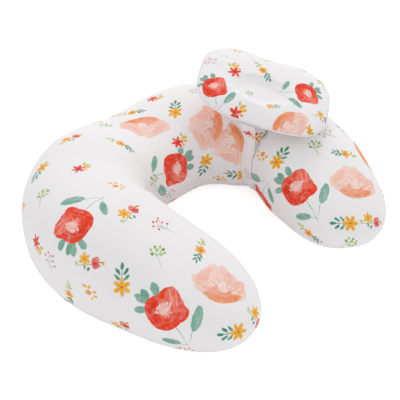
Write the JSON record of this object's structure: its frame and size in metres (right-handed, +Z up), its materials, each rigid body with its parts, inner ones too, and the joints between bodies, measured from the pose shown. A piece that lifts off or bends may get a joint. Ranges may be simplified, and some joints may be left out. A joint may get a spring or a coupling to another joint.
{
  "type": "nursing_pillow",
  "caption": "U-shaped nursing pillow in a printed cotton cover with a side zipper, and a small head pillow held on one arm by a strap.",
  "frame": {"origin": "middle of the bounding box, on the resting face under the U", "axes": "+Z up. The U opens towards -Y, its arms lean in, and X runs across it from the plain arm to the arm with the head pillow."},
  "size_m": [0.6389, 0.5343, 0.2756],
  "materials": {
    "printed_cotton": "plain-weave cotton, white with watercolour flowers",
    "piping_cotton": "white cotton bias tape",
    "liner_cloth": "white nonwoven liner",
    "polyester_fibre": "loose white polyester fibre",
    "zipper_tape": "woven polyester tape",
    "zipper_coil": "white nylon coil",
    "zipper_metal": "white lacquered zinc",
    "elastic_webbing": "white knitted elastic",
    "hook_and_loop": "white hook and loop tape"
  },
  "bodies": {
    "pillow": {"cover_top_panel": "printed_cotton", "cover_bottom_panel": "printed_cotton", "liner_top": "liner_cloth", "liner_bottom": "liner_cloth", "fibre_fill": "polyester_fibre", "zipper_tape_upper": "zipper_tape", "zipper_tape_lower": "zipper_tape", "zipper_coil_upper": "zipper_coil", "zipper_coil_lower": "zipper_coil", "zipper_top_stop": "zipper_metal", "zipper_bottom_stop": "zipper_metal", "strap_upper": "printed_cotton", "strap_elastic": "elastic_webbing", "strap_lower": "printed_cotton", "strap_loop_patch": "hook_and_loop", "head_tab": "printed_cotton"},
    "slider": {"zipper_slider": "zipper_metal"},
    "pull": {"zipper_pull": "zipper_metal"},
    "tail": {"strap_tail": "printed_cotton", "strap_hook_patch": "hook_and_loop"},
    "head_pillow": {"head_front_panel": "printed_cotton", "head_back_panel": "printed_cotton", "head_fill": "polyester_fibre", "head_piping": "piping_cotton"}
  },
  "joints": [
    {"name": "slider_travel", "type": "hinge", "parent": "pillow", "child": "slider", "pos_m": [-0.0452, -0.0049, 0.0417], "axis": [0, 0, 1], "range_deg": [0, 52]},
    {"name": "pull_flip", "type": "hinge", "parent": "slider", "child": "pull", "pos_m": [-0.20384, 0.20562, 0.04168], "axis": [0.2678, -0.3554, -0.8955], "range_deg": [0, 150]},
    {"name": "tail_peel", "type": "hinge", "parent": "pillow", "child": "tail", "pos_m": [0.2884, -0.0231, 0.1636], "axis": [-0.0776, -0.997, 0], "range_deg": [0, 120]},
    {"name": "head_flip", "type": "hinge", "parent": "pillow", "child": "head_pillow", "pos_m": [0.09488, -0.04932, 0.20093], "axis": [0.5825, -0.7684, -0.2649], "range_deg": [0, 110]}
  ]
}
